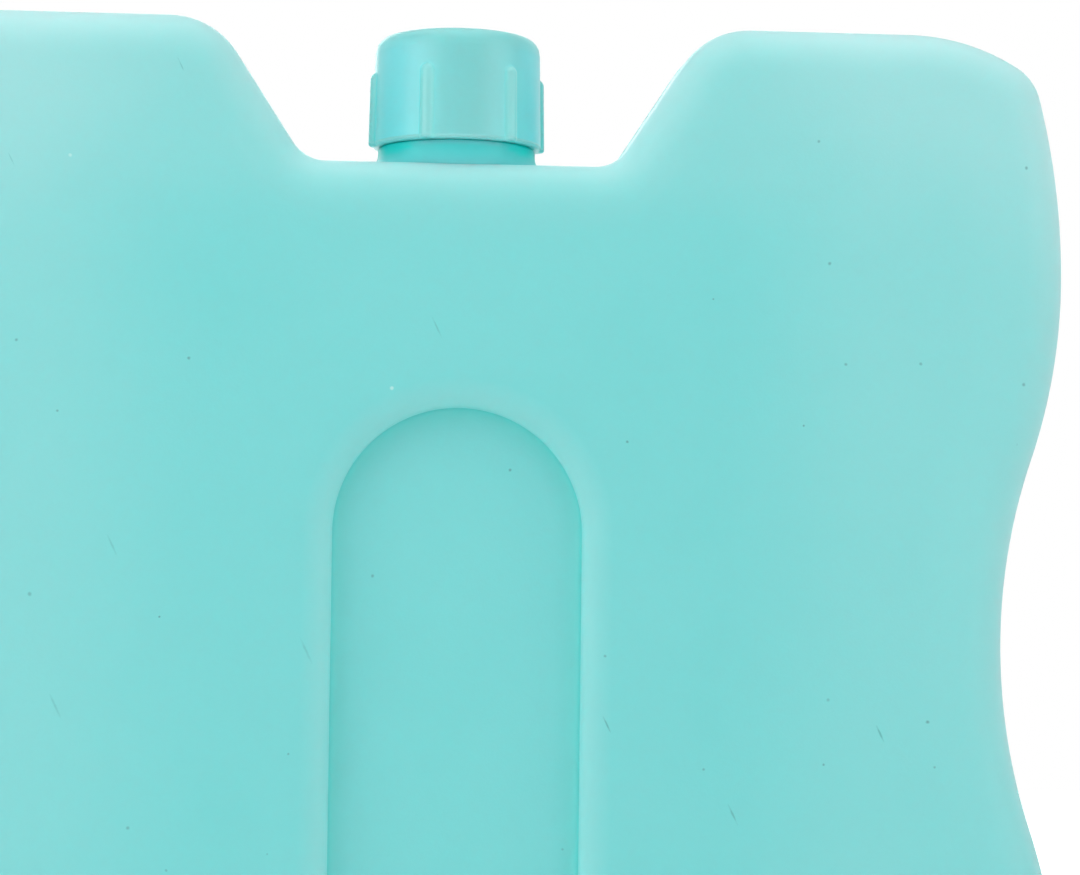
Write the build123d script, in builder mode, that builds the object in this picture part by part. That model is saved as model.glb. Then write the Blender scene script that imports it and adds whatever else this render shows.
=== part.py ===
"""Reusable ice pack: a flat blow-moulded bottle with a waist, closed by a ribbed screw cap.

Four pieces: the hollow bottle, the coolant inside it, the sealing liner and the cap.
Millimetres, +Z up. The origin is at the middle of the foot, where the pack stands.
+X runs along the width, and the front face looks along -Y.
"""

from math import pi, radians, tan
import os

from build123d import *

# Body, seen from the front: a rounded square with a waist halfway up
body_width = 181.0
body_height = 182.5
body_thickness = 36.0
wall = 1.8
waist_inset = 9.0
bulge_drop = 36.5
shoulder_run = 23.5
corner_inset = 4.2
corner_drop = 6.5
corner_radius = 8.0
edge_radius = 7.5

# Low foot under the bottom edge, an oval pad on which the pack stands
foot_height = 0.6
foot_length = 128.0
foot_width = 15.0
foot_edge_radius = 0.4

# Notch in the top edge, which holds the neck and the cap
notch_depth = 21.0
notch_mouth = 73.0
notch_floor = 45.8
notch_mouth_radius = 12.0
notch_floor_radius = 5.5

# Long panel sunk in both faces, with the same margin above and below it
panel_width = 36.4
panel_margin = 36.6
panel_depth = 4.4
panel_lip_radius = 2.6
panel_foot_radius = 1.5

# Neck and its collar, standing on the notch floor
neck_diameter = 19.8
neck_wall = 1.8
neck_lip_radius = 0.4
collar_projection = 1.85
collar_root_radius = 1.8
collar_gap = 0.5

# Screw thread, one right-hand start
thread_lead = 4.0
thread_height = 1.05
thread_flank_angle = 21.0
thread_crest_gap = 0.3
thread_flank_gap = 0.25
thread_sink = 0.15
thread_drop = 2.6
neck_thread_turns = 2.25
cap_thread_turns = 1.75

# Cap
cap_height = 16.8
cap_floor_gap = 3.8
skirt_wall = 1.35
cap_top_thickness = 1.7
cap_edge_radius = 2.3
cap_rim_radius = 0.4

# Grip ribs round the cap
rib_count = 6
rib_radius = 0.95
rib_projection = 0.8
rib_drop = 4.2
first_rib_angle = -114.0

# Sealing liner inside the cap
liner_thickness = 1.0
liner_side_gap = 0.3
liner_face_gap = 0.05

# Coolant: how far its surface lies below the notch floor, and its film of air at the walls
fill_drop = 11.5
coolant_gap = 0.25

# Smallest rounding and smallest flat between two roundings, and how close counts as the same place
least_radius = 0.3
least_flat = 0.1
same_place = 0.01

# Levels worked out from the sizes above
mid_level = foot_height + body_height / 2
notch_level = foot_height + body_height - notch_depth
cap_rim_level = notch_level + cap_floor_gap
cap_top_level = cap_rim_level + cap_height
cap_inside_level = cap_top_level - cap_top_thickness
neck_top_level = cap_inside_level - liner_thickness - 2 * liner_face_gap
collar_top_level = cap_rim_level - collar_gap
panel_level = (foot_height + notch_level) / 2
panel_length = notch_level - foot_height - 2 * panel_margin
neck_foot_level = notch_level - wall / 2
fill_level = notch_level - fill_drop
rib_foot_level = cap_rim_level + cap_rim_radius
rib_top_level = cap_top_level - rib_drop

# Radii of the neck and the cap, each with its clearance
neck_radius = neck_diameter / 2
bore_radius = neck_radius - neck_wall
collar_radius = neck_radius + collar_projection
skirt_inner_radius = neck_radius + thread_height + thread_crest_gap
skirt_radius = skirt_inner_radius + skirt_wall
rib_place_radius = skirt_radius + rib_projection - rib_radius

# Thread section: its width at the wall leaves the flank gap on both sides when the cap is on
flank_slope = tan(radians(thread_flank_angle))
thread_root_width = thread_lead / 2 - thread_flank_gap + flank_slope * (skirt_inner_radius - neck_radius)
neck_thread_start = neck_top_level - thread_drop - neck_thread_turns * thread_lead
cap_thread_start = neck_thread_start + thread_lead / 2

front_plane = Plane((0, 0, mid_level), x_dir=(1, 0, 0), z_dir=(0, -1, 0))


def corners_at(outline, x, y):
    """The two mirrored corners of an outline at +-x and y."""
    return outline.vertices().filter_by(
        lambda v: abs(abs(v.X) - x) < same_place and abs(v.Y - y) < same_place
    )


def body_outline(inset):
    """The front outline of the body with its notch, moved in by inset all round."""
    top = body_height / 2
    flat_x = body_width / 2 - shoulder_run
    bulge = (body_width / 2, top - bulge_drop)
    corner = (body_width / 2 - corner_inset, top - corner_drop)
    waist = (body_width / 2 - waist_inset, 0)
    turn = ((bulge[0] + waist[0]) / 2, (bulge[1] + waist[1]) / 2)
    floor_y = top - notch_depth

    with BuildSketch(front_plane) as outline:
        with BuildLine():
            TangentArc((flat_x, top), corner, tangent=(1, 0))
            TangentArc(bulge, corner, tangent=(0, 1))
            TangentArc(bulge, turn, tangent=(0, -1))
            TangentArc(waist, turn, tangent=(0, 1))
            mirror(about=Plane.XZ)
            mirror(about=Plane.YZ)
            Line((-flat_x, top), (flat_x, top))
            Line((-flat_x, -top), (flat_x, -top))
        make_face()
        fillet(corners_at(outline, corner[0], corner[1]), corner_radius)
        fillet(corners_at(outline, corner[0], -corner[1]), corner_radius)
        Polygon(
            (-notch_mouth / 2, top),
            (-notch_floor / 2, floor_y),
            (notch_floor / 2, floor_y),
            (notch_mouth / 2, top),
            align=None,
            mode=Mode.SUBTRACT,
        )
        fillet(corners_at(outline, notch_mouth / 2, top), notch_mouth_radius)
        fillet(corners_at(outline, notch_floor / 2, floor_y), notch_floor_radius)
    if not inset:
        return outline.sketch

    # The moved outline is drawn again with true lines and arcs, which make cleaner walls
    moved = offset(outline.sketch_local, amount=-inset)
    with BuildSketch(front_plane) as shrunk:
        with BuildLine():
            for edge in moved.edges():
                if edge.geom_type == GeomType.LINE:
                    Line(edge @ 0, edge @ 1)
                else:
                    ThreePointArc(edge @ 0, edge @ 0.5, edge @ 1)
        make_face()
    return shrunk.sketch


def body_solid(inset):
    """The rounded slab with its notch and panels, with every surface moved in by inset."""
    outline = body_outline(inset)
    half_thickness = body_thickness / 2 - inset
    panel_floor = half_thickness - panel_depth
    lip_radius = max(panel_lip_radius - inset, least_radius)
    foot_radius = min(panel_foot_radius + inset, panel_depth - lip_radius - least_flat)
    with BuildPart() as body:
        extrude(outline, amount=half_thickness, both=True)
        rims = body.edges().filter_by(lambda e: abs(abs(e.center().Y) - half_thickness) < same_place)
        fillet(rims, edge_radius - inset)
        for side in (-1, 1):
            panel_plane = Plane((0, side * panel_floor, panel_level), x_dir=(1, 0, 0), z_dir=(0, side, 0))
            with BuildSketch(panel_plane):
                SlotOverall(panel_length + 2 * inset, panel_width + 2 * inset, rotation=90)
            extrude(amount=panel_depth, mode=Mode.SUBTRACT)
            fresh = body.edges(Select.LAST)
            lip_edges = fresh.filter_by(lambda e: abs(e.center().Y - side * half_thickness) < same_place)
            foot_edges = fresh.filter_by(lambda e: abs(e.center().Y - side * panel_floor) < same_place)
            fillet(foot_edges, foot_radius)
            fillet(lip_edges, lip_radius)
    return body.part


def thread_ridge(root_radius, start_level, turns, side):
    """A helical ridge of trapezoid section on the wall at root_radius, outside if side is 1, inside if -1."""
    base_half = thread_root_width / 2 + thread_sink * flank_slope
    crest_half = thread_root_width / 2 - thread_height * flank_slope
    with BuildPart() as ridge:
        with BuildLine() as path:
            Helix(
                pitch=thread_lead,
                height=turns * thread_lead,
                radius=root_radius,
                center=(0, 0, start_level),
            )
        section_plane = Plane(path.line @ 0, x_dir=(1, 0, 0), z_dir=path.line % 0)
        with BuildSketch(section_plane):
            Polygon(
                (-side * thread_sink, -base_half),
                (side * thread_height, -crest_half),
                (side * thread_height, crest_half),
                (-side * thread_sink, base_half),
                align=None,
            )
        sweep(path=path.line, is_frenet=True)
    return ridge.part


# Foot: a low oval pad that reaches halfway into the bottom wall
with BuildPart() as foot:
    with BuildSketch():
        SlotOverall(foot_length, foot_width)
    extrude(amount=foot_height + wall / 2)
    fillet(foot.edges().group_by(Axis.Z)[0], foot_edge_radius)

# Bottle: blown in one piece with its neck, collar and thread
body_skin = body_solid(0)
cavity = body_solid(wall)
neck_thread = thread_ridge(neck_radius, neck_thread_start, neck_thread_turns, side=1)
with BuildPart() as bottle:
    add(body_skin)
    with BuildSketch(Plane.XY.offset(neck_foot_level)):
        Circle(collar_radius)
    extrude(amount=collar_top_level - neck_foot_level)
    collar_root = bottle.edges(Select.LAST).filter_by(lambda e: e.center().Z < notch_level + same_place)
    fillet(collar_root, collar_root_radius)
    with BuildSketch(Plane.XY.offset(neck_foot_level)):
        Circle(neck_radius)
    extrude(amount=neck_top_level - neck_foot_level)
    neck_lip = bottle.edges(Select.LAST).filter_by(lambda e: e.center().Z > neck_top_level - same_place)
    fillet(neck_lip, neck_lip_radius)
    add(neck_thread)
    add(foot.part)
    add(cavity, mode=Mode.SUBTRACT)
    with BuildSketch(Plane.XY.offset(fill_level)):
        Circle(bore_radius)
    extrude(amount=neck_top_level - fill_level, mode=Mode.SUBTRACT)
bottle.part.label = "bottle"

# Coolant: fills the bottle up to its level, and leaves room above to swell as it freezes
cavity_fill = body_solid(wall + coolant_gap)
with BuildPart() as coolant:
    add(cavity_fill)
    split(bisect_by=Plane.XY.offset(fill_level), keep=Keep.BOTTOM)
coolant.part.label = "coolant"

# Liner: a flat disc between the mouth of the neck and the cap
with BuildPart() as liner:
    with BuildSketch(Plane.XY.offset(neck_top_level + liner_face_gap)):
        Circle(skirt_inner_radius - liner_side_gap)
    extrude(amount=liner_thickness)
liner.part.label = "liner"

# Cap: a cup with a rounded top, grip ribs outside and a thread inside
cap_thread = thread_ridge(skirt_inner_radius, cap_thread_start, cap_thread_turns, side=-1)
with BuildPart() as cap:
    with BuildSketch(Plane.XY.offset(cap_rim_level)):
        Circle(skirt_radius)
    extrude(amount=cap_height)
    fillet(cap.edges().group_by(Axis.Z)[-1], cap_edge_radius)
    fillet(cap.edges().group_by(Axis.Z)[0], cap_rim_radius)
    with BuildSketch(Plane.XY.offset(rib_foot_level)):
        with PolarLocations(rib_place_radius, rib_count, start_angle=first_rib_angle):
            Circle(rib_radius)
    extrude(amount=rib_top_level - rib_radius - rib_foot_level)
    with Locations((0, 0, rib_top_level - rib_radius)):
        with PolarLocations(rib_place_radius, rib_count, start_angle=first_rib_angle):
            Sphere(rib_radius)
    with BuildSketch(Plane.XY.offset(cap_rim_level)):
        Circle(skirt_inner_radius)
    extrude(amount=cap_inside_level - cap_rim_level, mode=Mode.SUBTRACT)
    add(cap_thread)
cap.part.label = "cap"

os.makedirs("parts", exist_ok=True)
export_step(bottle.part, "parts/bottle.step")
export_step(coolant.part, "parts/coolant.step")
export_step(liner.part, "parts/liner.step")
export_step(cap.part, "parts/cap.step")
print("cap lift for each radian of turn, in metres:", thread_lead / 2 / pi / 1000)
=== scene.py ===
"""Dresses the reusable ice pack: its skins as worked-out surfaces, its materials, light and camera.

Lengths are in millimetres until a mesh is made, which turns them to metres. +Z is up, the front
face looks along -Y, and the origin is at the middle of the foot, where the pack stands.
"""

import bmesh
import bpy
from mathutils import Matrix
import numpy as np


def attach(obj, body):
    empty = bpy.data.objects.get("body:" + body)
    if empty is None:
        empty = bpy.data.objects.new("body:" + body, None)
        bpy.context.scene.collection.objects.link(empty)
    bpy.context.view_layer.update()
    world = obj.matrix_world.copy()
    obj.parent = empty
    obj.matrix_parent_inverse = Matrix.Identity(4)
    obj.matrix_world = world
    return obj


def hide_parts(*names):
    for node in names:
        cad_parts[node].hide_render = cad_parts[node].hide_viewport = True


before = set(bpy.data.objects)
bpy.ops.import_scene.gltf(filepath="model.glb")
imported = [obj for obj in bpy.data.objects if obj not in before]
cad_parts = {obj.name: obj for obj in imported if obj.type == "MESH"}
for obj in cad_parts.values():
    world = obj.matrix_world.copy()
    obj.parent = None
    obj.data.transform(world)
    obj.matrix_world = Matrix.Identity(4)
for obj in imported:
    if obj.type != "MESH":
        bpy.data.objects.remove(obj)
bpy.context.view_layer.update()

MM = 0.001

# Body of the bottle, seen from the front, measured from halfway up
HALF_WIDTH = 90.5
HALF_HEIGHT = 91.25
WAIST_INSET = 9.0
BULGE_DROP = 36.5
SHOULDER_RUN = 23.5
CORNER_INSET = 4.2
CORNER_DROP = 6.5
CORNER_RADIUS = 8.0
NOTCH_DEPTH = 21.0
NOTCH_MOUTH = 36.5
NOTCH_FLOOR = 22.9
NOTCH_MOUTH_RADIUS = 12.0
NOTCH_FLOOR_RADIUS = 5.5
OUTLINE_STEP = 1.5
OUTLINE_TURN = np.radians(5.5)

# Levels and depths of the body
FOOT_HEIGHT = 0.6
MID_LEVEL = FOOT_HEIGHT + HALF_HEIGHT
NOTCH_LEVEL = MID_LEVEL + HALF_HEIGHT - NOTCH_DEPTH
HALF_THICKNESS = 18.0
CROWN = 1.2
EDGE_ROUND = 7.5
PARTING_STEP = 0.15
PARTING_WIDTH = 0.3

# Long panel sunk in both faces: its spine, its wall, and the roundings beside the wall
SPINE_TOP = 15.45
SPINE_FOOT = -36.45
PANEL_RADIUS = 18.2
PANEL_DEPTH = 4.4
LIP_WIDTH = 4.4
LIP_DEPTH = 2.4
PANEL_FOOT_WIDTH = 4.65
PANEL_FOOT_DEPTH = 1.7

# Rows of the mesh over the face, and how often their points are moved to the mean of their neighbours
FACE_ROWS = 26
RELAXING_ROUNDS = 500

# Low oval pad under the body
PAD_HALF_SPINE = 56.5
PAD_RADIUS = 7.5
PAD_ROUND = 0.4

# Neck and collar
NECK_RADIUS = 9.9
BORE_RADIUS = 8.1
NECK_TOP = 179.9
COLLAR_RADIUS = 11.75
COLLAR_TOP = 165.45
COLLAR_ROOT = 2.6

# Screw thread: its lead and height, the half widths of its ridge at root and crest, the level at
# which each of the two helices starts, and the steps between the rows of mesh that carry them
THREAD_LEAD = 4.0
THREAD_HEIGHT = 1.05
THREAD_ROOT_HALF = 1.134
THREAD_CREST_HALF = 0.731
NECK_THREAD_START = 168.3
NECK_THREAD_TURNS = 2.25
CAP_THREAD_START = 170.3
CAP_THREAD_TURNS = 1.75
NECK_ROW_STEP = 0.14
CAP_ROW_STEP = 0.2

# Cap, its grip ribs and the nub of flash on its rim
CAP_RIM = 165.5
CAP_TOP = 182.3
CAP_INSIDE_TOP = 181.0
CAP_INNER_RADIUS = 11.25
CAP_TOP_RADIUS = 12.4
CAP_RIM_RADIUS = 12.7
CAP_EDGE_ROUND = 2.3
RIM_ROUND = 0.5
RIB_COUNT = 6
RIB_RADIUS = 1.15
RIB_PROJECTION = 0.95
RIB_TOP = 176.8
RIB_ROOT_ROUND = 0.2
FIRST_RIB = np.radians(-114.0)
NUB_ANGLE = np.radians(263.0)

# Sealing disc between the neck's lip and the cap
LINER_RADIUS = 10.95
LINER_LOW = NECK_TOP + 0.05
LINER_HIGH = NECK_TOP + 1.05
LINER_ROUND = 0.2

# Paleness of the plastic: deep for painted shade in hollows and under the cap, plain on most of it,
# pale for painted highlights
DEEP, PLAIN, MEDIUM, PALE = 0.0, 0.25, 0.6, 1.0
# Paleness of the cap's ribs: a painted highlight
RIB_PAINTED_HIGHLIGHT = 0.85

# How much paler than the face around them the bent parts of the body's wall are: painted shade in the
# panel's foot, painted highlights on the lip, the end of the face and round the edge
PANEL_FOOT_PAINTED_SHADE = -0.25
LIP_PAINTED_HIGHLIGHT = 0.45
FACE_END_PAINTED_HIGHLIGHT = 0.06
SIDE_PAINTED_HIGHLIGHT = 0.4

# Camera, fitted to the outline in the photograph: place in metres, turns in degrees, lens in mm
CAMERA_PLACE = (-0.02608, -0.46579, 0.09793)
CAMERA_YAW, CAMERA_PITCH, CAMERA_ROLL = 4.818, 2.968, 0.688
CAMERA_LENS = 103.33
SENSOR_WIDTH = 36


# Meshes

def make_piece(name, patches, body, cad_node, material):
    """Makes one object of several patches of quads, welded where they meet, turned to face
    outwards. A patch is its points, its quads and the paleness of its points, which is kept as an
    attribute."""
    corners = np.concatenate([points.reshape(-1, 3) for points, _, _ in patches])
    starts = np.cumsum([0] + [points.shape[0] * points.shape[1] for points, _, _ in patches])
    quads = np.concatenate([quads + start for (_, quads, _), start in zip(patches, starts)])
    paleness = np.concatenate([(pale + 0 * points[:, :, 0]).ravel() for points, _, pale in patches])
    mesh = bpy.data.meshes.new(name)
    mesh.from_pydata((corners * MM).tolist(), [], quads.tolist())
    mesh.attributes.new("pale", "FLOAT", "POINT").data.foreach_set("value", paleness)
    shell = bmesh.new()
    shell.from_mesh(mesh)
    bmesh.ops.remove_doubles(shell, verts=shell.verts, dist=0.002 * MM)
    bmesh.ops.dissolve_degenerate(shell, edges=shell.edges, dist=0.001 * MM)
    bmesh.ops.recalc_face_normals(shell, faces=shell.faces)
    shell.to_mesh(mesh)
    shell.free()
    mesh.shade_smooth()
    mesh.materials.append(material)
    piece = bpy.data.objects.new(name, mesh)
    bpy.context.scene.collection.objects.link(piece)
    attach(piece, body)
    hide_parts(cad_node)


def ring_quads(rows, columns):
    """Quads between the rows of a grid whose columns close round."""
    row, column = np.meshgrid(np.arange(rows - 1), np.arange(columns), indexing="ij")
    after = (column + 1) % columns
    quads = [row * columns + column, row * columns + after,
             (row + 1) * columns + after, (row + 1) * columns + column]
    return np.stack(quads, axis=-1).reshape(-1, 4)


def round_patch(radius, level, angle, pale=PLAIN):
    """A patch turned round the neck's axis: x is r cos a, y is r sin a, z is the level."""
    points = np.stack([radius * np.cos(angle), radius * np.sin(angle), level + 0 * angle], axis=-1)
    return points, ring_quads(*radius.shape), pale


def full_turn(count):
    """Angles once round the axis in even steps, as one row."""
    return np.linspace(0, 2 * np.pi, count, endpoint=False)[None]


def quarter_turn(count):
    """A quarter turn in even steps, with 1 - sin, which falls from 1 to 0, and 1 - cos, which
    rises from 0 to 1. The two draw a rounded corner."""
    angle = np.linspace(0, np.pi / 2, count)
    return angle, 1 - np.sin(angle), 1 - np.cos(angle)


def profile_columns(parts):
    """The columns of a profile's table, each joined down its parts into one upright column. A part
    holds a number or a row of numbers for each column, and a number is repeated."""
    filled = [np.broadcast_arrays(*map(np.atleast_1d, part)) for part in parts]
    return [np.concatenate(column).astype(float)[:, None] for column in zip(*filled)]


def smooth_step(value):
    """0 below 0, 1 above 1, and the cubic 3v^2 - 2v^3 between."""
    value = np.clip(value, 0, 1)
    return value * value * (3 - 2 * value)


def bell(value, width):
    """1 at 0, falling off to both sides: e to the power of minus the square of value / width."""
    return np.exp(-((value / width) ** 2))


# Outline of the body

def heading(centre, point):
    """The angle at which a point lies as seen from a centre."""
    return np.arctan2(point[1] - centre[1], point[0] - centre[0])


def arc(centre, radius, start, stop, side=1):
    """Points on a circle from one angle to another. The normal leaves the centre, or seeks it
    where side is -1."""
    turn = abs(stop - start)
    count = int(np.ceil(max(turn * radius / OUTLINE_STEP, turn / OUTLINE_TURN)))
    angle = np.linspace(start, stop, count, endpoint=False)
    ray = np.stack([np.cos(angle), np.sin(angle)], axis=1)
    return np.array(centre) + radius * ray, side * ray


def straight(start, stop):
    """Points on a line, with the normal on the left of the way along it."""
    way = np.subtract(stop, start)
    length = np.hypot(*way)
    part = np.linspace(0, 1, int(np.ceil(length / OUTLINE_STEP)), endpoint=False)[:, None]
    normal = np.array([[-way[1], way[0]]]) / length
    return start + part * way, np.repeat(normal, len(part), axis=0)


def bottle_outline():
    """The closed outline with its normals, clockwise from the middle of the notch.

    The right half is: notch floor, hollow fillet, slope, round mouth, straight top, shoulder arc,
    corner fillet, side arc down to the bulge, bulge arc, hollow waist arc, and the last five upside
    down. An arc that leaves a point straight and passes another has the radius (dx^2 + dz^2) / 2d,
    where d is the offset across the way it leaves. The left half is its mirror image.
    """
    top = HALF_HEIGHT
    flat_end = np.array([HALF_WIDTH - SHOULDER_RUN, top])
    corner = np.array([HALF_WIDTH - CORNER_INSET, top - CORNER_DROP])
    bulge = np.array([HALF_WIDTH, top - BULGE_DROP])
    waist = np.array([HALF_WIDTH - WAIST_INSET, 0.0])
    turn = (bulge + waist) / 2

    shoulder_radius = np.sum((corner - flat_end) ** 2) / (2 * CORNER_DROP)
    shoulder = flat_end - [0, shoulder_radius]
    side_radius = np.sum((corner - bulge) ** 2) / (2 * CORNER_INSET)
    side = bulge - [side_radius, 0]
    waist_radius = np.sum((bulge - turn) ** 2) / (2 * (bulge[0] - turn[0]))
    swell = bulge - [waist_radius, 0]
    hollow = waist + [waist_radius, 0]

    # The corner fillet lies inside both arcs, so its centre is where two smaller circles meet
    reach_a, reach_b = shoulder_radius - CORNER_RADIUS, side_radius - CORNER_RADIUS
    apart = side - shoulder
    distance = np.hypot(*apart)
    along = (reach_a**2 - reach_b**2 + distance**2) / (2 * distance)
    across = np.sqrt(reach_a**2 - along**2)
    unit = apart / distance
    fillet = shoulder + along * unit + across * np.array([unit[1], -unit[0]])
    from_shoulder = shoulder + (fillet - shoulder) / reach_a * shoulder_radius
    to_side = side + (fillet - side) / reach_b * side_radius

    # The notch: both fillets touch the slope at their cut lengths
    floor = top - NOTCH_DEPTH
    slope = np.array([NOTCH_MOUTH - NOTCH_FLOOR, NOTCH_DEPTH])
    slope = slope / np.hypot(*slope)
    half_turn = np.tan(np.arctan2(slope[1], slope[0]) / 2)
    floor_end = np.array([NOTCH_FLOOR - NOTCH_FLOOR_RADIUS * half_turn, floor])
    slope_foot = np.array([NOTCH_FLOOR, floor]) + NOTCH_FLOOR_RADIUS * half_turn * slope
    slope_top = np.array([NOTCH_MOUTH, top]) - NOTCH_MOUTH_RADIUS * half_turn * slope
    mouth_end = np.array([NOTCH_MOUTH + NOTCH_MOUTH_RADIUS * half_turn, top])
    root = floor_end + [0, NOTCH_FLOOR_RADIUS]
    mouth = mouth_end - [0, NOTCH_MOUTH_RADIUS]

    notch = [
        straight((0, floor), floor_end),
        arc(root, NOTCH_FLOOR_RADIUS, -np.pi / 2, heading(root, slope_foot), side=-1),
        straight(slope_foot, slope_top),
        arc(mouth, NOTCH_MOUTH_RADIUS, heading(mouth, slope_top), np.pi / 2),
        straight(mouth_end, flat_end),
    ]
    flank = [
        arc(shoulder, shoulder_radius, np.pi / 2, heading(shoulder, from_shoulder)),
        arc(fillet, CORNER_RADIUS, heading(fillet, from_shoulder), heading(fillet, to_side)),
        arc(side, side_radius, heading(side, to_side), 0),
        arc(swell, waist_radius, 0, heading(swell, turn)),
        arc(hollow, waist_radius, heading(hollow, turn) % (2 * np.pi), np.pi, side=-1),
        (waist[None], np.array([[1.0, 0.0]])),
    ]
    notch_points, notch_normals = (np.concatenate(part) for part in zip(*notch))
    flank_points, flank_normals = (np.concatenate(part) for part in zip(*flank))
    upside_down = np.array([1, -1])
    below = straight((flat_end[0], -top), (0, -top))
    points = np.concatenate([notch_points, flank_points, flank_points[-2::-1] * upside_down,
                             below[0][1:], [(0, -top)]])
    normals = np.concatenate([notch_normals, flank_normals, flank_normals[-2::-1] * upside_down,
                              below[1][1:], [(0, -1)]])
    mirrored = np.array([-1, 1])
    return (np.concatenate([points, points[-2:0:-1] * mirrored]),
            np.concatenate([normals, normals[-2:0:-1] * mirrored]))


outline, outline_normal = bottle_outline()


def edge_drop(depth):
    """How far the rounded edge has fallen in from the outline at a depth: a quarter ellipse."""
    beyond = np.clip((np.abs(depth) - (HALF_THICKNESS - EDGE_ROUND)) / (EDGE_ROUND - CROWN), 0, 1)
    return (EDGE_ROUND - PARTING_STEP) * (1 - np.sqrt(1 - beyond**2))


def parting_ridge(depth):
    """The fine ridge where the mould halves met: a bell curve over the depth."""
    return PARTING_STEP * bell(depth, PARTING_WIDTH)


def face_relief(x, z):
    """Slow hills and hollows of a blown wall that shrank as it cooled: four long crossed waves."""
    return (0.022 * np.sin(x / 13.0 + 1.1) * np.sin(z / 17.0 + 0.4)
            + 0.014 * np.sin((x + z) / 9.0 + 2.0) * np.sin((x - 2 * z) / 31.0)
            + 0.010 * np.sin(x / 6.1 + z / 23.0) + 0.008 * np.sin(z / 7.3 - x / 19.0 + 0.7))


def painted_side_and_top_light(x, z):
    """Painted light on the face, as paleness above plain: a painted highlight that grows towards both
    sides, from 36 to 64 mm out, and there more so higher up, towards the top, from 50 to 78 mm above
    the middle, and up to the notch, from 60 to 70 mm above the middle."""
    beside = smooth_step((np.abs(x) - 36) / 28) * np.clip(0.22 + 0.0014 * z, 0.1, 1)
    high = smooth_step((z - 50) / 28)
    at_notch = smooth_step((60 - np.abs(x)) / 20) * smooth_step((z - 60) / 10)
    return beside + 0.13 * high + 0.14 * at_notch


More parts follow.
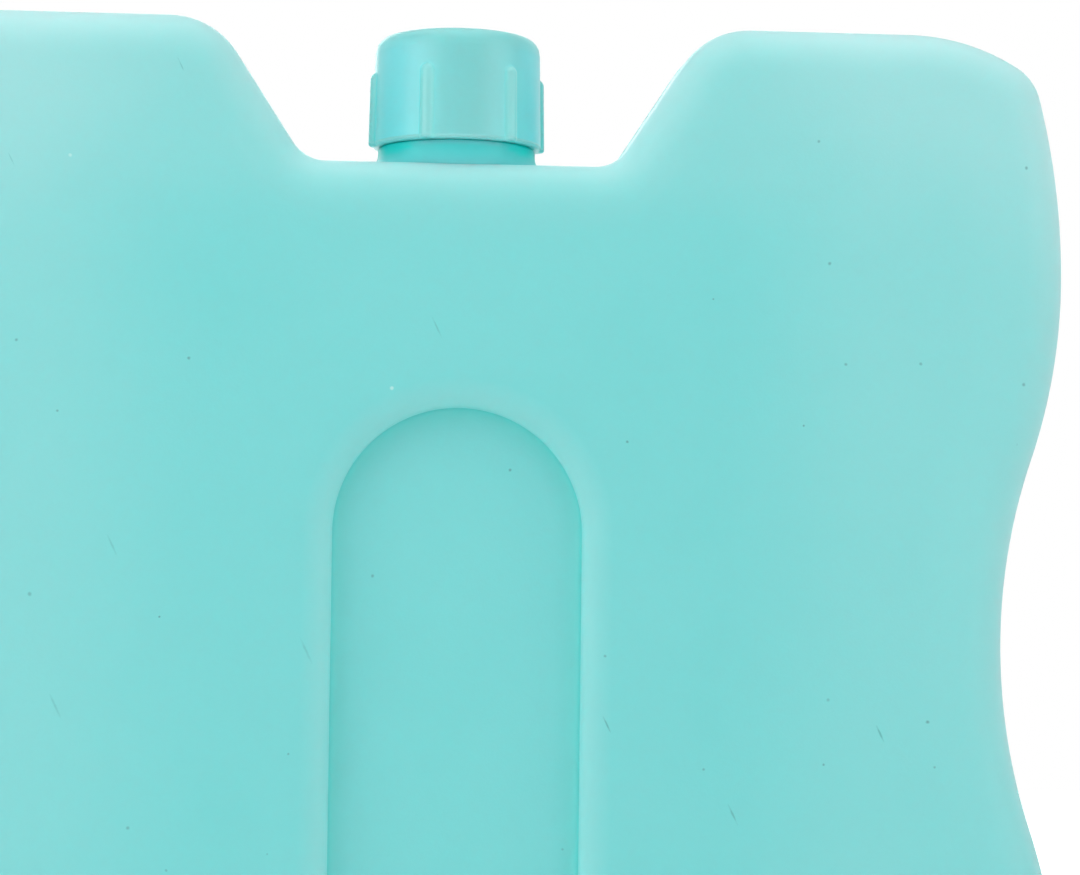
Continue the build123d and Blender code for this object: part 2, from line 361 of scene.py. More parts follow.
def bottle_skin():
    """The blown body. One parameter goes round the outline, the other from the panel's spine
    over the face and the rounded edge to the parting line, and the back mirrors the front.

    Panel: the distance from the spine grows over a flat floor, a quarter ellipse up to the wall,
    and a quarter ellipse out over the lip. Face: the mesh lines are relaxed between the lip and
    the outline moved in by the edge rounding, and the face is crowned. Edge: a quarter ellipse.
    """
    spine_middle = (SPINE_TOP + SPINE_FOOT) / 2
    half_spine = (SPINE_TOP - SPINE_FOOT) / 2
    rim = outline - EDGE_ROUND * outline_normal

    # Each column meets the panel's wall where a ray from the panel's middle passes it
    ray = rim - [0, spine_middle]
    ray = ray / np.hypot(ray[:, 0], ray[:, 1])[:, None]
    across = np.abs(ray[:, 0])
    up = np.abs(ray[:, 1])
    to_side = PANEL_RADIUS / np.maximum(across, 1e-9)
    root = np.sqrt(np.maximum(PANEL_RADIUS**2 - (half_spine * across) ** 2, 0))
    reach = np.where(to_side * up <= half_spine, to_side, half_spine * up + root)
    wall = ray * reach[:, None]
    spine = np.stack([0 * wall[:, 0], np.clip(wall[:, 1], -half_spine, half_spine)], axis=1)
    away = (wall - spine) / PANEL_RADIUS
    spine = spine + [0, spine_middle]

    # Panel rows: distance from the spine, and depth below the face
    quarter, fall, rise = quarter_turn(10)
    floor_reach = np.linspace(0, PANEL_RADIUS - PANEL_FOOT_WIDTH, 7)[:-1]
    foot_reach = PANEL_RADIUS - PANEL_FOOT_WIDTH * fall
    foot_sunk = PANEL_DEPTH - PANEL_FOOT_DEPTH * rise
    lip_reach = PANEL_RADIUS + LIP_WIDTH * rise
    lip_sunk = LIP_DEPTH * fall
    distance = np.concatenate([floor_reach, foot_reach, lip_reach])
    sunk = np.concatenate([0 * floor_reach + PANEL_DEPTH, foot_sunk, lip_sunk])
    panel = spine[None] + distance[:, None, None] * away[None]
    panel_depth = np.repeat((HALF_THICKNESS - sunk)[:, None], len(outline), axis=1)

    # Face rows, relaxed until each point is the mean of its four neighbours
    part = np.linspace(0, 1, FACE_ROWS)[:, None, None]
    face = panel[-1][None] * (1 - part) + rim[None] * part
    for _ in range(RELAXING_ROUNDS):
        beside = np.roll(face, 1, axis=1) + np.roll(face, -1, axis=1)
        face[1:-1] = 0.25 * (face[:-2] + face[2:] + beside[1:-1])
    swell = (1 - part[:, :, 0] ** 2) ** 2
    face_depth = HALF_THICKNESS - CROWN * (1 - swell) + 0 * face[:, :, 0]

    # Edge rows, and side rows that crowd towards the parting ridge
    turn = np.linspace(0, np.pi / 2, 15)[1:, None]
    edge_depth = HALF_THICKNESS - EDGE_ROUND + (EDGE_ROUND - CROWN) * np.cos(turn)
    edge_inset = EDGE_ROUND - (EDGE_ROUND - PARTING_STEP) * np.sin(turn)
    side_depth = np.array([9, 7.5, 6, 4.5, 3, 2, 1.2, 0.7, 0.45, 0.3, 0.2, 0.1, 0])[:, None]
    side_inset = PARTING_STEP - parting_ridge(side_depth)
    inset = np.concatenate([edge_inset, side_inset])[:, :, None]
    edge = outline[None] - inset * outline_normal[None]
    edge_depth = np.concatenate([edge_depth, side_depth]) + 0 * edge[:, :, 0]

    plan = np.concatenate([panel, face[1:], edge])
    depth = np.concatenate([panel_depth, face_depth[1:], edge_depth])

    # The relief fades out down the sides, and its hills stay under the pack's full thickness
    x, z = plan[:, :, 0], plan[:, :, 1]
    depth = depth - (0.04 + face_relief(x, z)) * smooth_step((depth - 9) / 4)
    front = np.stack([x, -depth, z + MID_LEVEL], axis=-1)
    back = front[-2::-1] * [1, -1, 1]
    points = np.concatenate([front, back])

    # Painted light on the bent wall: a painted highlight on the panel's lip and round the edge, and
    # painted shade in the foot of the panel
    painted_relief_light = np.concatenate([
        0 * floor_reach,
        PANEL_FOOT_PAINTED_SHADE * np.sin(quarter) ** 2,
        LIP_PAINTED_HIGHLIGHT * np.cos(quarter),
        FACE_END_PAINTED_HIGHLIGHT * smooth_step((part[1:, 0, 0] - 0.8) / 0.2),
        FACE_END_PAINTED_HIGHLIGHT + (SIDE_PAINTED_HIGHLIGHT - FACE_END_PAINTED_HIGHLIGHT) * np.sin(turn[:, 0]) ** 2,
        SIDE_PAINTED_HIGHLIGHT + 0 * side_depth[:, 0],
    ])
    pale = np.clip(PLAIN + painted_side_and_top_light(x, z) + painted_relief_light[:, None], DEEP, PALE)
    pale = np.concatenate([pale, pale[-2::-1]])

    # The skin is open under the neck, inside the foot of its collar
    quads = ring_quads(*points.shape[:2])
    flat = points.reshape(-1, 3)
    from_axis = np.hypot(flat[:, 0], flat[:, 1])
    under_neck = (from_axis < BORE_RADIUS + 2.7) & (flat[:, 2] > NOTCH_LEVEL - 3)
    return points, quads[~under_neck[quads].all(axis=1)], pale


def foot_pad():
    """The low oval pad: its outline is a distance from a spine along X, with a rounded lower edge,
    and the pinch-off scar is a fine groove along the spine."""
    _, fall, rise = quarter_turn(6)
    below = np.array([5, 3, 1.6, 1.0, 0.6, 0.3, 0])
    reach, level = profile_columns([
        ([0, 3, PAD_RADIUS], 2 * FOOT_HEIGHT),
        (PAD_RADIUS, 0.8),
        (PAD_RADIUS - PAD_ROUND * rise, PAD_ROUND * fall),
        (below, 0.2 * bell(below, 0.5)),
    ])
    end = np.linspace(-np.pi / 2, np.pi / 2, 25)
    middle = np.linspace(-PAD_HALF_SPINE, PAD_HALF_SPINE, 60)[1:-1]
    spine = np.concatenate([0 * end + PAD_HALF_SPINE, middle[::-1], 0 * end - PAD_HALF_SPINE, middle])
    away_x = np.concatenate([np.cos(end), 0 * middle, -np.cos(end), 0 * middle])
    away_y = np.concatenate([np.sin(end), 0 * middle + 1, -np.sin(end), 0 * middle - 1])
    points = np.stack([spine + reach * away_x, reach * away_y, level + 0 * away_x], axis=-1)
    return points, ring_quads(*points.shape[:2]), PLAIN + 0.2


def thread(angle, level, start, turns):
    """Height of a screw ridge: full within its crest, falling to nothing at its root, over the
    level from the nearest turn of a helix, and fading in over the first and last tenth of a turn."""
    turn = angle / (2 * np.pi)
    count = np.floor((level - start) / THREAD_LEAD - turn + 0.5)
    count = np.clip(count, 0, np.floor(turns - turn))
    off = np.abs(level - start - THREAD_LEAD * (turn + count))
    flank = np.clip((THREAD_ROOT_HALF - off) / (THREAD_ROOT_HALF - THREAD_CREST_HALF), 0, 1)
    done = turn + count
    ends = smooth_step(done / 0.1) * smooth_step((turns - done) / 0.1)
    return THREAD_HEIGHT * flank * ends


def neck_skin():
    """The neck and collar, a profile of radius and level turned round the axis.

    From under the notch floor: out to the foot of the collar, up a hollow quarter circle, the
    collar's wall and top, a bead just inside the cap's rim, the neck with its thread, the rounded
    lip, down the bore, and out again below the floor. The foot rows fall with the body's rounded
    edge at their depth.
    """
    quarter, fall, rise = quarter_turn(9)
    floor = NOTCH_LEVEL - PARTING_STEP
    foot_radius = COLLAR_RADIUS + COLLAR_ROOT + 0.4
    bead_radius = CAP_INNER_RADIUS - 0.3
    bead_top = CAP_RIM + 1.2
    threaded = np.arange(bead_top + 0.4, NECK_TOP - 0.5, NECK_ROW_STEP)
    radius, level, falls, carries, pale = profile_columns([
        # radius, level, how far the row falls with the floor, how much thread it carries, paleness
        (foot_radius, floor - 0.7, 1, 0, PLAIN),
        # The hollow quarter circle darkens towards the collar's wall: painted shade in the crease
        (COLLAR_RADIUS + COLLAR_ROOT * fall, floor + COLLAR_ROOT * rise, np.cos(quarter) ** 2, 0,
         0.5 * PLAIN + 0.5 * PLAIN * np.cos(quarter)),
        (COLLAR_RADIUS - 0.3 * rise, COLLAR_TOP - 0.3 * fall, 0, 0, PLAIN),
        # The bead in the gap under the cap's rim is deep: painted shade
        ([bead_radius + 0.15, bead_radius, bead_radius],
         [COLLAR_TOP, COLLAR_TOP + 0.15, bead_top - 0.2], 0, 0, DEEP),
        (bead_radius - 0.2 * rise, bead_top - 0.2 * fall, 0, 0, PLAIN),
        (NECK_RADIUS + 0.3 * fall, bead_top + 0.3 * rise, 0, 0, PLAIN),
        (NECK_RADIUS, threaded, 0, 1, PLAIN),
        (NECK_RADIUS - 0.4 * rise, NECK_TOP - 0.4 * fall, 0, 0, PLAIN),
        (BORE_RADIUS + 0.3 * fall, NECK_TOP - 0.3 * rise, 0, 0, PLAIN),
        (BORE_RADIUS, np.linspace(NECK_TOP - 1, floor - 0.6, 7), 0, 0, PLAIN),
        ([BORE_RADIUS + 0.8, COLLAR_RADIUS, foot_radius], floor - 1.6, [0, 1, 1], 0, PLAIN),
        (foot_radius, floor - 0.7, 1, 0, PLAIN),
    ])
    angle = full_turn(360)

    # The hollow foot of the collar is narrow in front and behind, where the floor rounds away
    flare = np.clip(radius - COLLAR_RADIUS, 0, COLLAR_ROOT) * (level < COLLAR_TOP - 0.5)
    radius = radius - 0.85 * flare * np.sin(angle) ** 2
    level = level - falls * edge_drop(radius * np.sin(angle))
    radius = radius + carries * thread(angle, level, NECK_THREAD_START, NECK_THREAD_TURNS)

    # The mould's parting ridge runs up both sides of the collar
    across = radius * np.sin(angle)
    outer = (radius > COLLAR_RADIUS - 0.1) & (level > floor - 0.5)
    radius = radius + outer * 0.12 * bell(across, 0.35)

    # A painted highlight pales the foot of the collar at both sides, where the parting plane crosses
    # it, and a painted shadow of the cap's rim deepens the top of the collar there
    aside = smooth_step((np.abs(np.cos(angle)) - 0.3) / 0.5)
    painted_rim_shadow = smooth_step((level - COLLAR_TOP + 1.7 * aside) / 0.7) * (radius > CAP_INNER_RADIUS) * aside
    painted_highlight = smooth_step((radius - COLLAR_RADIUS - 0.3) / 1.2) * np.cos(angle) ** 6
    pale = np.clip(pale - PLAIN * painted_rim_shadow + (PALE - PLAIN) * painted_highlight, DEEP, PALE)
    return round_patch(radius, level, angle, pale)


def cap_skin():
    """The cap, a profile of radius and level turned round the axis.

    From the middle of the top, with its gate scar, out over the rounded edge, down the skirt, round
    the rim, up the inside with its thread, and across the inside of the top. The skirt widens
    downwards. A rib is a circle beside the skirt: a point on it is p cos a + sqrt(r^2 - (p sin a)^2)
    from the axis, and a soft maximum with the skirt rounds its roots.
    """
    _, fall, rise = quarter_turn(10)
    top_reach = np.array([0, 0.3, 0.6, 0.8, 1.0, 1.2, 1.6, 2.5, 4, 5.5, 7, 8.5, 9.5])
    gate = 0.12 * bell(top_reach, 0.55) - 0.1 * bell(top_reach - 1.2, 0.4)
    dish = -0.14 * smooth_step(1 - (top_reach - 4) / 5.5)
    skirt_level = np.linspace(CAP_TOP - CAP_EDGE_ROUND, CAP_RIM + RIM_ROUND, 64)[1:]
    threaded = np.arange(CAP_RIM + 0.6, CAP_INSIDE_TOP - 0.3, CAP_ROW_STEP)
    radius, level, skirt, rim, carries = profile_columns([
        # radius, level, 1 on the skirt, 1 on the rim's outer rounding, how much thread it carries
        (top_reach, CAP_TOP - 0.12 + gate + dish, 0, 0, 0),
        (CAP_TOP_RADIUS - CAP_EDGE_ROUND * fall, CAP_TOP - CAP_EDGE_ROUND * rise, 0, 0, 0),
        (CAP_TOP_RADIUS, skirt_level, 1, 0, 0),
        (CAP_RIM_RADIUS - RIM_ROUND * rise, CAP_RIM + RIM_ROUND * fall, 0, 1, 0),
        (CAP_INNER_RADIUS + 0.35 * fall[1:], CAP_RIM + 0.35 * rise[1:], 0, 0, 0),
        (CAP_INNER_RADIUS, threaded, 0, 0, 1),
        (CAP_INNER_RADIUS - 0.3 * rise, CAP_INSIDE_TOP - 0.3 * fall, 0, 0, 0),
        ([8, 5, 2, 0], CAP_INSIDE_TOP, 0, 0, 0),
    ])
    outside = skirt + rim
    angle = full_turn(480)
    down = (CAP_TOP - level) / (CAP_TOP - CAP_RIM)
    widened = radius + skirt * (CAP_RIM_RADIUS - CAP_TOP_RADIUS) * down

    # Ribs: their section shrinks to nothing in the dome at their top, and at the rim's rounding
    pitch = 2 * np.pi / RIB_COUNT
    off = (angle - FIRST_RIB + pitch / 2) % pitch - pitch / 2
    place = widened + RIB_PROJECTION - RIB_RADIUS
    dome = np.clip(level - (RIB_TOP - RIB_RADIUS), 0, RIB_RADIUS)
    section = np.sqrt(RIB_RADIUS**2 - dome**2)
    inside_rib = np.maximum(section**2 - (place * np.sin(off)) ** 2, 0)
    rib = place * np.cos(off) + np.sqrt(inside_rib)
    proud = np.maximum(rib - widened, 0) * outside * (level < RIB_TOP)
    proud = np.sqrt(proud**2 + RIB_ROOT_ROUND**2) - RIB_ROOT_ROUND

    # Every second field between ribs is deeper in colour, less so towards the top. The ribs and
    # the edge of the rim are paler: painted highlights
    field = 0.5 - 0.5 * np.cos(RIB_COUNT / 2 * (angle - FIRST_RIB - pitch / 2))
    field = field * smooth_step((CAP_TOP - level) / 4)
    pale = np.maximum(PLAIN - (PLAIN - DEEP) * field, RIB_PAINTED_HIGHLIGHT * smooth_step(proud / 0.5))
    pale = np.maximum(pale, PALE * outside * smooth_step((CAP_RIM + 0.7 - level) / 0.4))
    height = thread(angle, level + 0 * angle, CAP_THREAD_START, CAP_THREAD_TURNS)
    radius = widened + proud - carries * height

    # A small nub of flash on the rim, left of the middle of the front
    nub = bell((angle - NUB_ANGLE) * CAP_RIM_RADIUS, 0.5) * bell(level - CAP_RIM, 0.5)
    radius = radius + 0.15 * nub * outside
    return round_patch(radius, level, angle, pale)


def liner_skin():
    """The sealing disc: out over the top, round the edge and back below, with the ring that the
    neck's lip has pressed into its lower face."""
    _, fall, rise = quarter_turn(5)
    below = np.array([10.2, 9.9, 9.6, 9.3, 9.0, 8.7, 8.4, 8.1, 7.8, 5, 2.5, 0])
    pressed = 0.12 * (smooth_step((below - 7.9) / 0.4) - smooth_step((below - 9.7) / 0.4))
    radius, level = profile_columns([
        ([0, 3, 6, 9], LINER_HIGH),
        (LINER_RADIUS - LINER_ROUND * fall, LINER_HIGH - LINER_ROUND * rise),
        (LINER_RADIUS - LINER_ROUND * rise, LINER_LOW + LINER_ROUND * fall),
        (below, LINER_LOW + pressed),
    ])
    angle = full_turn(96)
    return round_patch(radius + 0 * angle, level, angle)


# Materials

def linear(code):
    """A colour written in sRGB hex, as the linear numbers that a shader takes."""
    srgb = np.array([int(code[i:i + 2], 16) for i in (1, 3, 5)]) / 255
    light = np.where(srgb <= 0.04045, srgb / 12.92, ((srgb + 0.055) / 1.055) ** 2.4)
    return (*light.tolist(), 1.0)


def put(tree, kind, sockets=(), **settings):
    """Adds a node with its settings, and fills each socket with a value or a link."""
    new = tree.nodes.new("ShaderNode" + kind)
    for name, value in settings.items():
        setattr(new, name, value)
    for name, value in dict(sockets).items():
        if isinstance(value, bpy.types.NodeSocket):
            tree.links.new(value, new.inputs[name])
        else:
            new.inputs[name].default_value = value
    return new


def new_material(name):
    """An empty material with its output, as the pair of material and node tree."""
    material = bpy.data.materials.new(name)
    material.use_nodes = True
    material.node_tree.nodes.clear()
    return material, material.node_tree


def sparse_marks(tree, place, spacing, share, radius, stretch, turn):
    """Strength of small marks on the faces, and a chance number for each mark.

    Seen from the front, a Voronoi pattern with a spacing in mm has a mark in a share of its cells,
    of about the radius, larger and stronger in some. A stretch under 1 draws the pattern out along
    one way, which a turn sets, so that a mark becomes a scratch.
    """
    seen = put(tree, "Mapping", {"Vector": place, "Rotation": (np.pi / 2, 0, turn)})
    drawn = put(tree, "Mapping", {"Vector": seen.outputs[0], "Scale": (1.0, stretch, 1.0)})
    cell = put(tree, "TexVoronoi", {"Vector": drawn.outputs[0], "Scale": 1 / (spacing * MM)},
               voronoi_dimensions="2D")
    chance = put(tree, "SeparateColor", {"Color": cell.outputs["Color"]})
    wobble = put(tree, "TexNoise", {"Vector": place, "Scale": 1 / (0.6 * MM), "Detail": 1.0})
    reach = put(tree, "Math", {0: wobble.outputs["Fac"], 1: 1.2 * radius / spacing,
                               2: cell.outputs["Distance"]}, operation="MULTIPLY_ADD")
    edge = put(tree, "Math", {0: chance.outputs[1], 1: radius / spacing, 2: 1.5 * radius / spacing},
               operation="MULTIPLY_ADD")
    near = put(tree, "MapRange", {"Value": reach.outputs[0], "From Min": edge.outputs[0],
                                  "From Max": radius / spacing})
    kept = put(tree, "Math", {0: chance.outputs[0], 1: share}, operation="LESS_THAN")
    facing = put(tree, "SeparateXYZ", {"Vector": put(tree, "NewGeometry").outputs["Normal"]})
    steep = put(tree, "Math", {0: facing.outputs["Y"]}, operation="ABSOLUTE")
    on_face = put(tree, "Math", {0: steep.outputs[0], 1: 0.9}, operation="GREATER_THAN")
    strength = put(tree, "MapRange", {"Value": chance.outputs[2], "To Min": 0.35, "To Max": 0.85})
    for part in (kept, on_face, strength):
        near = put(tree, "Math", {0: near.outputs[0], 1: part.outputs[0]}, operation="MULTIPLY")
    return near.outputs[0], chance.outputs[2]


def blown_polyethylene(name, painted_shade, plain, medium, painted_highlight):
    """High-density polyethylene, blown against a blasted mould: satin, with painted highlights and
    painted shade from its pale attribute, a fine grain, slow cloudiness, and a few specks and scuffs.
    Light that sinks in comes out greener."""
    material, tree = new_material(name)
    place = put(tree, "TexCoord").outputs["Object"]

    # Cloudiness about 30 mm across, added to the pale attribute, which carries the painted highlights
    # and painted shade
    cloud = put(tree, "TexNoise", {"Vector": place, "Scale": 1 / (30 * MM), "Detail": 3.0})
    cloud = put(tree, "MapRange", {"Value": cloud.outputs["Fac"], "To Min": -0.07, "To Max": 0.07})
    wall = put(tree, "Attribute", attribute_name="pale")
    paleness = put(tree, "Math", {0: cloud.outputs[0], 1: wall.outputs["Fac"]}, operation="ADD")
    # The deepest colour is for painted shade and the palest for painted highlights
    tint = put(tree, "ValToRGB", {"Fac": paleness.outputs[0]})
    tint.color_ramp.elements[0].color = linear(painted_shade)
    tint.color_ramp.elements[1].color = linear(painted_highlight)
    tint.color_ramp.elements.new(PLAIN).color = linear(plain)
    tint.color_ramp.elements.new(MEDIUM).color = linear(medium)

    # Specks of burnt resin about 0.4 mm across on the faces, and one in ten of them a pale blister
    specks, kind = sparse_marks(tree, place, spacing=16, share=0.55, radius=0.19,
                                stretch=1.0, turn=0.0)
    speck_tint = put(tree, "ValToRGB", {"Fac": kind})
    speck_tint.color_ramp.interpolation = "CONSTANT"
    speck_tint.color_ramp.elements[0].color = linear("#4E8A8C")
    speck_tint.color_ramp.elements[1].color = linear("#C4EFEC")
    speck_tint.color_ramp.elements[1].position = 0.9
    speckled = put(tree, "Mix", {0: specks, 6: tint.outputs["Color"], 7: speck_tint.outputs["Color"]},
                   data_type="RGBA")

    # Short scuffs, 0.3 mm by 3 mm, from other things in the box and the freezer
    scuffs, _ = sparse_marks(tree, place, spacing=9, share=0.35, radius=0.12,
                             stretch=0.1, turn=0.45)
    colour = put(tree, "Mix", {0: scuffs, 6: speckled.outputs[2], 7: linear("#5FB3B2")},
                 data_type="RGBA")

    # Grain of the mould's blasting, 0.4 mm, and a softer orange peel of 3 mm
    grain = put(tree, "TexNoise", {"Vector": place, "Scale": 1 / (0.4 * MM), "Detail": 2.0})
    peel = put(tree, "TexNoise", {"Vector": place, "Scale": 1 / (3 * MM), "Detail": 1.0})
    fine = put(tree, "Bump", {"Height": grain.outputs["Fac"], "Strength": 0.12, "Distance": 0.1 * MM})
    bump = put(tree, "Bump", {"Height": peel.outputs["Fac"], "Strength": 0.15, "Distance": 0.15 * MM,
                              "Normal": fine.outputs[0]})
    rough = put(tree, "MapRange", {"Value": grain.outputs["Fac"], "To Min": 0.42, "To Max": 0.5})
    shader = put(tree, "BsdfPrincipled", {
        "Base Color": colour.outputs[2], "Roughness": rough.outputs[0], "IOR": 1.5,
        "Specular IOR Level": 0.3,
        "Subsurface Weight": 1.0, "Subsurface Radius": (0.15, 1.0, 0.9), "Subsurface Scale": 3 * MM,
        "Normal": bump.outputs[0],
    }, subsurface_method="BURLEY")
    put(tree, "OutputMaterial", {"Surface": shader.outputs[0]})
    return material


def moulded_polypropylene():
    """Polypropylene, injection moulded in a smoother tool than the bottle: a little glossier, with
    faint flow marks that run up the skirt."""
    material, tree = new_material("moulded_polypropylene")
    place = put(tree, "TexCoord").outputs["Object"]
    long_place = put(tree, "Mapping", {"Vector": place, "Scale": (1.0, 1.0, 0.15)})
    flow = put(tree, "TexNoise", {"Vector": long_place.outputs[0], "Scale": 1 / (4 * MM),
                                  "Detail": 3.0})
    flow_part = put(tree, "MapRange", {"Value": flow.outputs["Fac"], "To Min": -0.08, "To Max": 0.08})
    # The pale attribute carries painted highlights on the ribs and the rim's edge, and the palest
    # colour is for them
    rib = put(tree, "Attribute", attribute_name="pale")
    paleness = put(tree, "Math", {0: flow_part.outputs[0], 1: rib.outputs["Fac"]}, operation="ADD")
    tint = put(tree, "ValToRGB", {"Fac": paleness.outputs[0]})
    tint.color_ramp.elements[0].color = linear("#78DBE0")
    tint.color_ramp.elements[1].color = linear("#8AD5D4")
    tint.color_ramp.elements.new(PLAIN).color = linear("#78CFCE")
    grain = put(tree, "TexNoise", {"Vector": place, "Scale": 1 / (0.35 * MM), "Detail": 2.0})
    bump = put(tree, "Bump", {"Height": grain.outputs["Fac"], "Strength": 0.08, "Distance": 0.1 * MM})
    rough = put(tree, "MapRange", {"Value": flow.outputs["Fac"], "To Min": 0.3, "To Max": 0.38})
    shader = put(tree, "BsdfPrincipled", {
        "Base Color": tint.outputs["Color"], "Roughness": rough.outputs[0], "IOR": 1.49,
        "Subsurface Weight": 1.0, "Subsurface Radius": (0.15, 1.0, 0.9), "Subsurface Scale": 3 * MM,
        "Normal": bump.outputs[0],
    }, subsurface_method="BURLEY")
    put(tree, "OutputMaterial", {"Surface": shader.outputs[0]})
    return material


def foamed_polyethylene():
    """Foamed polyethylene sheet, die-cut: white and dull, pitted by closed cells 0.5 mm across."""
    material, tree = new_material("foamed_polyethylene")
    place = put(tree, "TexCoord").outputs["Object"]
    cell = put(tree, "TexVoronoi", {"Vector": place, "Scale": 1 / (0.5 * MM)})
    tint = put(tree, "ValToRGB", {"Fac": cell.outputs["Distance"]})
    tint.color_ramp.elements[0].color = linear("#E6E9E6")
    tint.color_ramp.elements[1].color = linear("#F0F2F0")
    bump = put(tree, "Bump", {"Height": cell.outputs["Distance"], "Strength": 0.4,
                              "Distance": 0.1 * MM})
    shader = put(tree, "BsdfPrincipled", {
        "Base Color": tint.outputs["Color"], "Roughness": 0.7, "IOR": 1.5, "Normal": bump.outputs[0],
    })
    put(tree, "OutputMaterial", {"Surface": shader.outputs[0]})
    return material


def cellulose_gel():
    """Coolant: water thickened with cellulose gum, poured in: clear, faintly blue, wet on top, with
    small bubbles held in it."""
    material, tree = new_material("cellulose_gel")
    place = put(tree, "TexCoord").outputs["Object"]
    bubble = put(tree, "TexVoronoi", {"Vector": place, "Scale": 1 / (6 * MM)})
    tint = put(tree, "ValToRGB", {"Fac": bubble.outputs["Distance"]})
    tint.color_ramp.elements[0].color = linear("#E4F6FA")
    tint.color_ramp.elements[1].position = 0.2
    tint.color_ramp.elements[1].color = linear("#BFE6F0")
    bump = put(tree, "Bump", {"Height": bubble.outputs["Distance"], "Strength": 0.1,
                              "Distance": 0.3 * MM})
    shader = put(tree, "BsdfPrincipled", {
        "Base Color": tint.outputs["Color"], "Roughness": 0.08, "IOR": 1.34,
        "Transmission Weight": 0.7, "Normal": bump.outputs[0],
    })
    put(tree, "OutputMaterial", {"Surface": shader.outputs[0]})
    return material


# Each plastic's deepest colour is painted shade and its palest painted highlights. The neck's colours
# are darker than the body's throughout: painted shade under the cap.
body_plastic = blown_polyethylene("blown_polyethylene_body",
                                  painted_shade="#64CECA", plain="#7BD9D8", medium="#8CDCDB", painted_highlight="#B2E7E7")
neck_plastic_in_painted_shade = blown_polyethylene("blown_polyethylene_neck_painted_shade",
                                  painted_shade="#00D8D2", plain="#5BCFD1", medium="#8CDCDB", painted_highlight="#B2E7E7")

make_piece("bottle_body", [bottle_skin(), foot_pad()], "bottle", "bottle", body_plastic)
make_piece("bottle_neck", [neck_skin()], "bottle", "bottle", neck_plastic_in_painted_shade)
make_piece("cap_shell", [cap_skin()], "cap", "cap", moulded_polypropylene())
make_piece("liner_disc", [liner_skin()], "liner", "liner", foamed_polyethylene())

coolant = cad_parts["coolant"]
coolant.data.materials.clear()
coolant.data.materials.append(cellulose_gel())


# Stage, light and camera

def background_rays(tree):
    """1 for rays of the camera, of gloss and through clear stuff, which see the white surroundings."""
    path = put(tree, "LightPath")
    seen = put(tree, "Math", {0: path.outputs["Is Camera Ray"], 1: path.outputs["Is Glossy Ray"]},
               operation="MAXIMUM")
    return put(tree, "Math", {0: seen.outputs[0], 1: path.outputs["Is Transmission Ray"]},
               operation="MAXIMUM").outputs[0]


def paper_floor():
    """A sheet of white paper: dull, its fibres just uneven, and lifted to white where it is seen."""
    material, tree = new_material("white_paper")
    place = put(tree, "TexCoord").outputs["Object"]
    fibre = put(tree, "TexNoise", {"Vector": place, "Scale": 1 / (2 * MM), "Detail": 2.0})
    tint = put(tree, "ValToRGB", {"Fac": fibre.outputs["Fac"]})
    tint.color_ramp.elements[0].color = linear("#F2F2F2")
    tint.color_ramp.elements[1].color = linear("#F8F8F8")
    paper = put(tree, "BsdfDiffuse", {"Color": tint.outputs["Color"]})

    # It is lifted less near the pack, so that the shadow at the foot shows
    away = put(tree, "VectorMath", {"Vector": place}, operation="LENGTH")
    lift = put(tree, "MapRange", {"Value": away.outputs["Value"], "From Min": 0.15, "From Max": 0.6,
                                  "To Min": 0.14, "To Max": 0.68})
    lift = put(tree, "Math", {0: background_rays(tree), 1: lift.outputs[0]}, operation="MULTIPLY")
    glow = put(tree, "Emission", {"Color": (1, 1, 1, 1), "Strength": lift.outputs[0]})
    both = put(tree, "AddShader", {0: paper.outputs[0], 1: glow.outputs[0]})
    put(tree, "OutputMaterial", {"Surface": both.outputs[0]})
    return material


def lay_floor():
    """A disc with a radius of 1.2 m round the pack, just below its foot, its rings closer together
    near the middle."""
    reach = 1200 * np.linspace(0, 1, 12)[:, None] ** 2
    angle = full_turn(96)
    points, quads, _ = round_patch(reach + 0 * angle, -0.1 + 0 * reach, angle)
    mesh = bpy.data.meshes.new("floor")
    mesh.from_pydata((points.reshape(-1, 3) * MM).tolist(), [], quads.tolist())
    mesh.materials.append(paper_floor())
    floor = bpy.data.objects.new("floor", mesh)
    bpy.context.scene.collection.objects.link(floor)


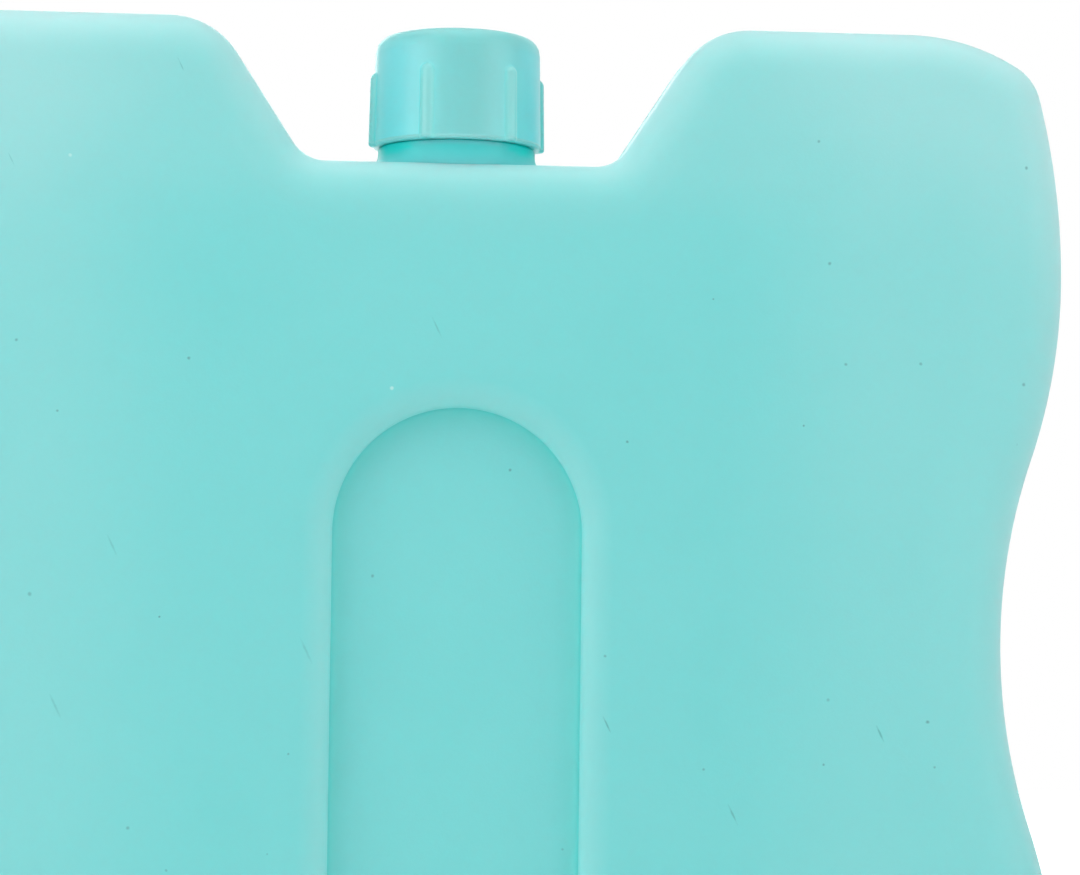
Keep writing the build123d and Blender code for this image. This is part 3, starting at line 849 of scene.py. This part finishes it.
def light_world():
    """The white surroundings: plain white to be seen, and a dimmer, even light on the pack."""
    world = bpy.data.worlds.new("surroundings")
    world.use_nodes = True
    tree = world.node_tree
    tree.nodes.clear()
    seen = put(tree, "Background", {"Color": (1, 1, 1, 1), "Strength": 1.0})
    cast = put(tree, "Background", {"Color": (1, 1, 1, 1), "Strength": 0.32})
    mixed = put(tree, "MixShader", {0: background_rays(tree), 1: cast.outputs[0], 2: seen.outputs[0]})
    put(tree, "OutputWorld", {"Surface": mixed.outputs[0]})
    bpy.context.scene.world = world


def soft_box(name, place, size, power):
    """A square area light at a place, aimed at the middle of the pack: place and size in mm,
    power in watts."""
    lamp = bpy.data.lights.new(name, "AREA")
    lamp.size = size * MM
    lamp.energy = power
    box = bpy.data.objects.new(name, lamp)
    back = np.array(place) - [0, 0, MID_LEVEL]
    back = back / np.linalg.norm(back)
    right = np.cross([0, 0.001, 1], back)
    right = right / np.linalg.norm(right)
    turned = Matrix(np.stack([right, np.cross(back, right), back], axis=1).tolist()).to_4x4()
    box.matrix_world = Matrix.Translation([side * MM for side in place]) @ turned
    bpy.context.scene.collection.objects.link(box)


def place_camera():
    """The camera at the photograph's place: turned right by the yaw, up by the pitch, then rolled."""
    yaw, pitch, roll = np.radians([CAMERA_YAW, CAMERA_PITCH, CAMERA_ROLL])
    ahead = np.array([np.sin(yaw) * np.cos(pitch), np.cos(yaw) * np.cos(pitch), np.sin(pitch)])
    level_right = np.array([np.cos(yaw), -np.sin(yaw), 0])
    level_up = np.cross(level_right, ahead)
    right = np.cos(roll) * level_right + np.sin(roll) * level_up
    up = np.cross(right, ahead)
    lens = bpy.data.cameras.new("camera")
    lens.lens = CAMERA_LENS
    lens.sensor_width = SENSOR_WIDTH
    lens.clip_start = 0.01
    camera = bpy.data.objects.new("camera", lens)
    turned = Matrix(np.stack([right, up, -ahead], axis=1).tolist()).to_4x4()
    camera.matrix_world = Matrix.Translation(CAMERA_PLACE) @ turned
    bpy.context.scene.collection.objects.link(camera)
    bpy.context.scene.camera = camera


lay_floor()
light_world()
soft_box("box_above", (0, -150, 900), 900, 3.6)
soft_box("box_left", (-650, -450, 300), 600, 2.6)
soft_box("box_behind", (-100, 850, 330), 600, 2.3)
soft_box("box_right", (650, -450, 300), 600, 1.9)
place_camera()
bpy.context.scene.view_settings.view_transform = "Standard"
